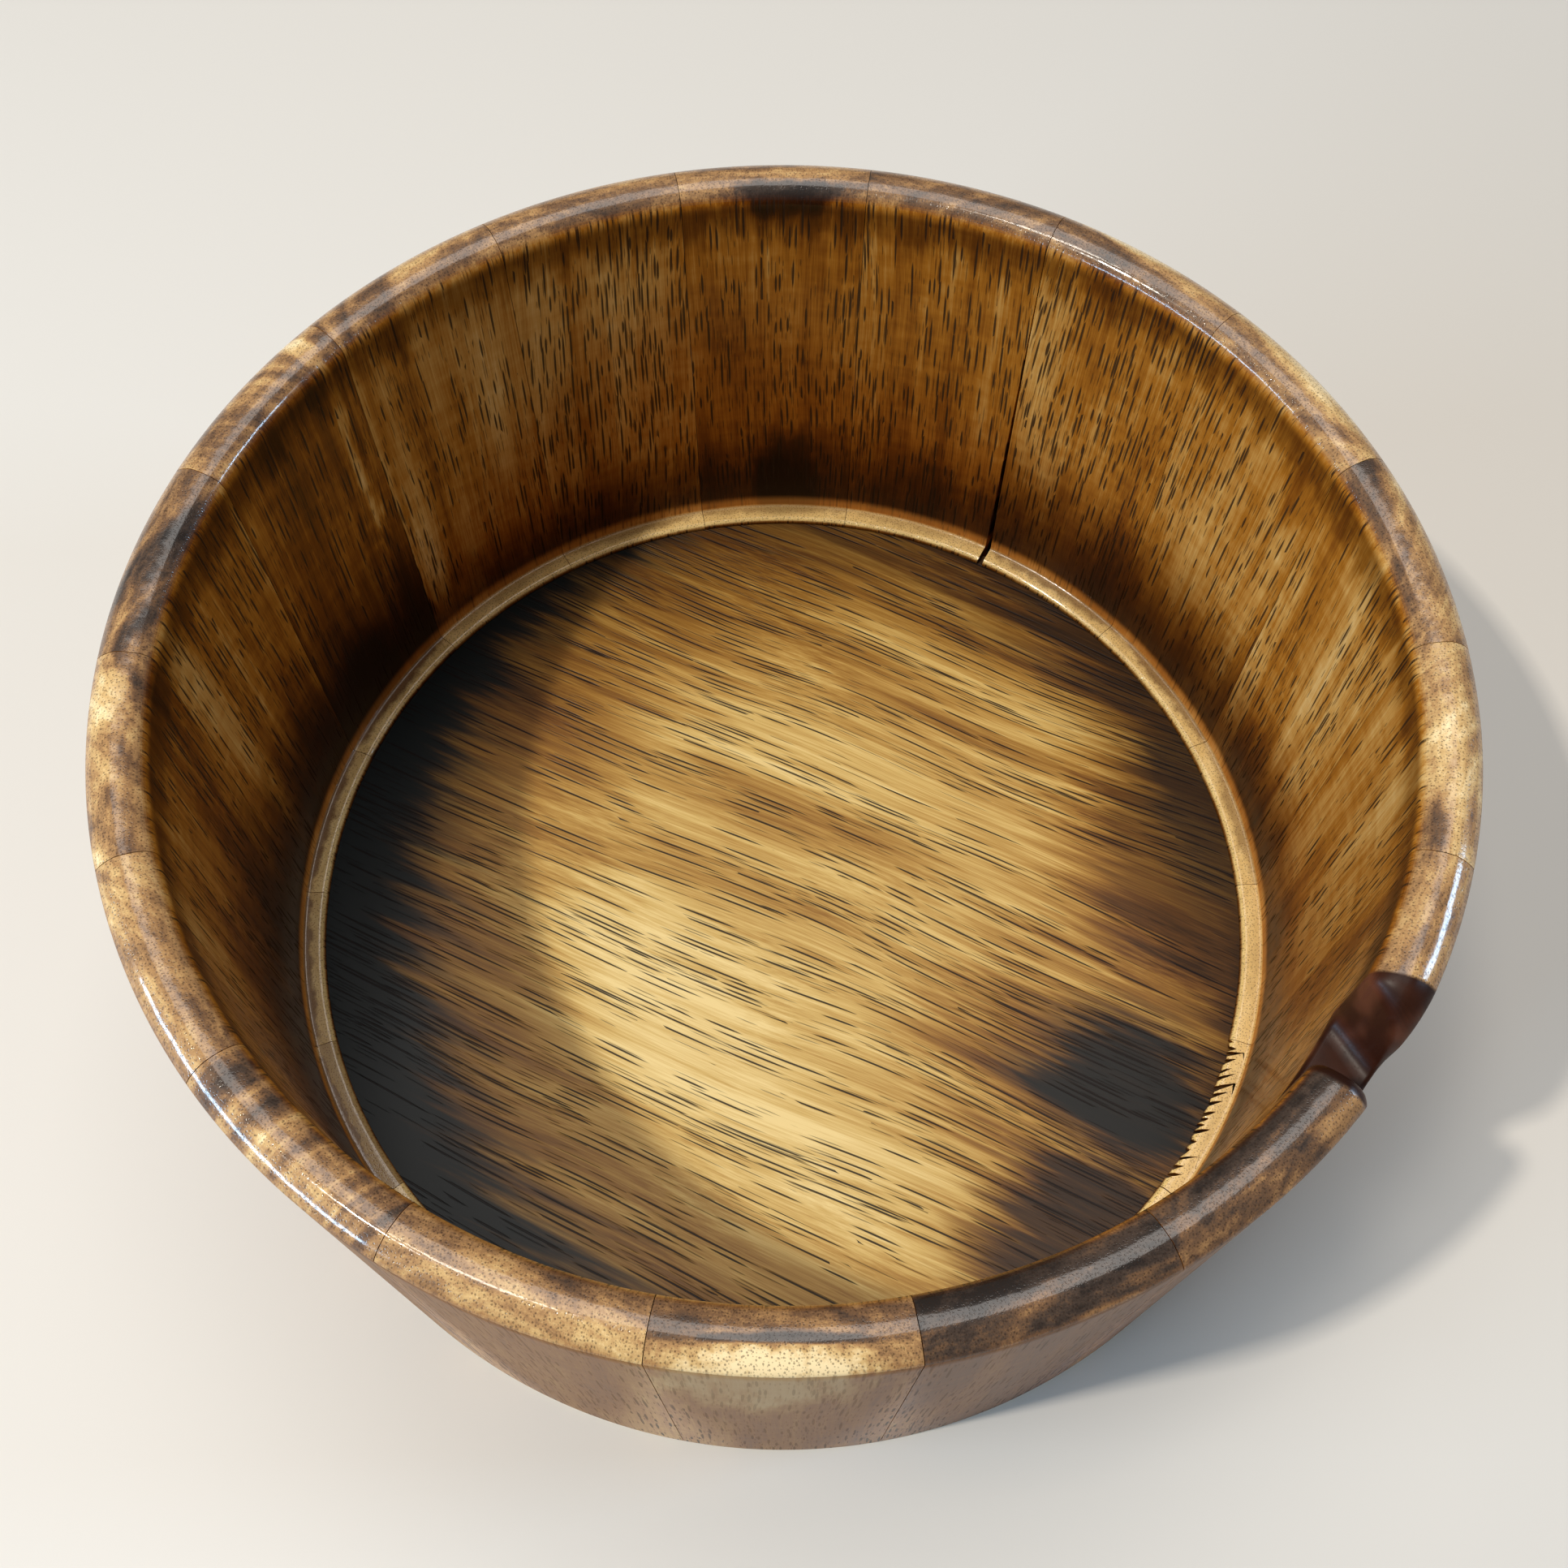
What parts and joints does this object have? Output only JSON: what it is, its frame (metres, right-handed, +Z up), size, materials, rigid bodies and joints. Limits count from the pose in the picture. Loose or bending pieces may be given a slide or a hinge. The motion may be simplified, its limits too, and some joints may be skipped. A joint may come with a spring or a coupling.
{
  "type": "wooden bowl",
  "caption": "Deep straight-sided wooden bowl built from upright glued staves, with a rounded rim, a flat let-in floor board and one notch cut through the rim.",
  "frame": {"origin": "centre of the underside, on the bowl's axis, on the surface it stands on", "axes": "+Z up the bowl's axis through its mouth, +X out through the rim notch, +Y to the left of someone looking out through the notch"},
  "size_m": [0.2498, 0.25, 0.1191],
  "materials": {
    "stave_tan": "oiled and lacquered acacia, tan",
    "stave_brown": "oiled and lacquered acacia, brown",
    "stave_honey": "oiled and lacquered acacia, honey",
    "floor_board": "satin lacquered acacia with dark stained edges"
  },
  "bodies": {
    "root": {"stave_01": "stave_tan", "stave_02": "stave_honey", "stave_03": "stave_brown", "stave_04": "stave_tan", "stave_05": "stave_honey", "stave_06": "stave_brown", "stave_07": "stave_tan", "stave_08": "stave_honey", "stave_09": "stave_brown", "stave_10": "stave_tan", "stave_11": "stave_honey", "stave_12": "stave_brown", "stave_13": "stave_tan", "stave_14": "stave_honey", "stave_15": "stave_brown", "stave_16": "stave_tan", "stave_17": "stave_honey", "stave_18": "stave_brown", "floor_board": "floor_board"}
  },
  "joints": []
}
